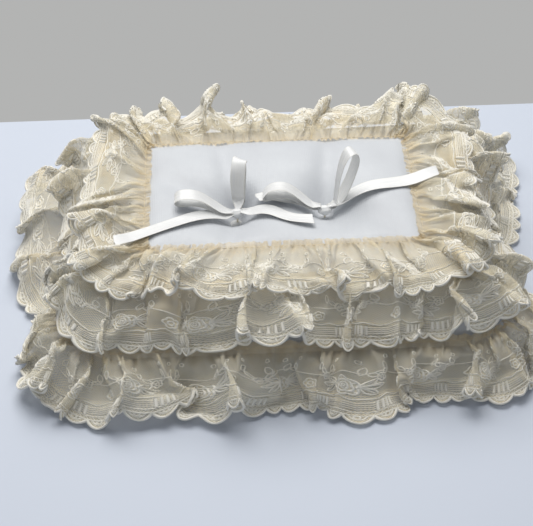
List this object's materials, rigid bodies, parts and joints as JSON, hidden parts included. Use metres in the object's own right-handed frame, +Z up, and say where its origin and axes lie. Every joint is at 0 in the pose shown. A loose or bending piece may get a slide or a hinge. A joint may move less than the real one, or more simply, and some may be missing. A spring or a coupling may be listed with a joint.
{
  "type": "ring bearer pillow",
  "caption": "Rectangular stuffed satin cushion with stepped tiers of gathered lace round a plain panel and tied ribbon bows on tufts for holding wedding rings.",
  "frame": {"origin": "centre of the bounding box at the resting face", "axes": "+X to the right along the long side, +Y to the back edge, +Z up through the satin panel"},
  "size_m": [0.3472, 0.2812, 0.1035],
  "materials": {
    "satin": "white satin with a soft sheen",
    "backing": "plain white satin, dull side",
    "filling": "loose polyester fibre",
    "lace": "ivory machine lace on fine net",
    "ribbon": "glossy ivory satin ribbon",
    "thread": "ivory sewing thread"
  },
  "bodies": {
    "root": {"front_cover": "satin", "back_cover": "backing", "fibre_filling": "filling", "seam_thread": "thread", "closing_stitches": "thread", "top_lace_ruffle": "lace", "middle_lace_ruffle": "lace", "bottom_lace_ruffle": "lace", "top_gather_thread": "thread", "middle_gather_thread": "thread", "bottom_gather_thread": "thread", "left_tuft_thread": "thread", "right_tuft_thread": "thread", "left_bow_knot": "ribbon", "left_bow_left_loop": "ribbon", "left_bow_right_loop": "ribbon", "left_bow_left_tail": "ribbon", "left_bow_right_tail": "ribbon", "right_bow_knot": "ribbon", "right_bow_left_loop": "ribbon", "right_bow_right_loop": "ribbon", "right_bow_left_tail": "ribbon", "right_bow_right_tail": "ribbon"}
  },
  "joints": []
}
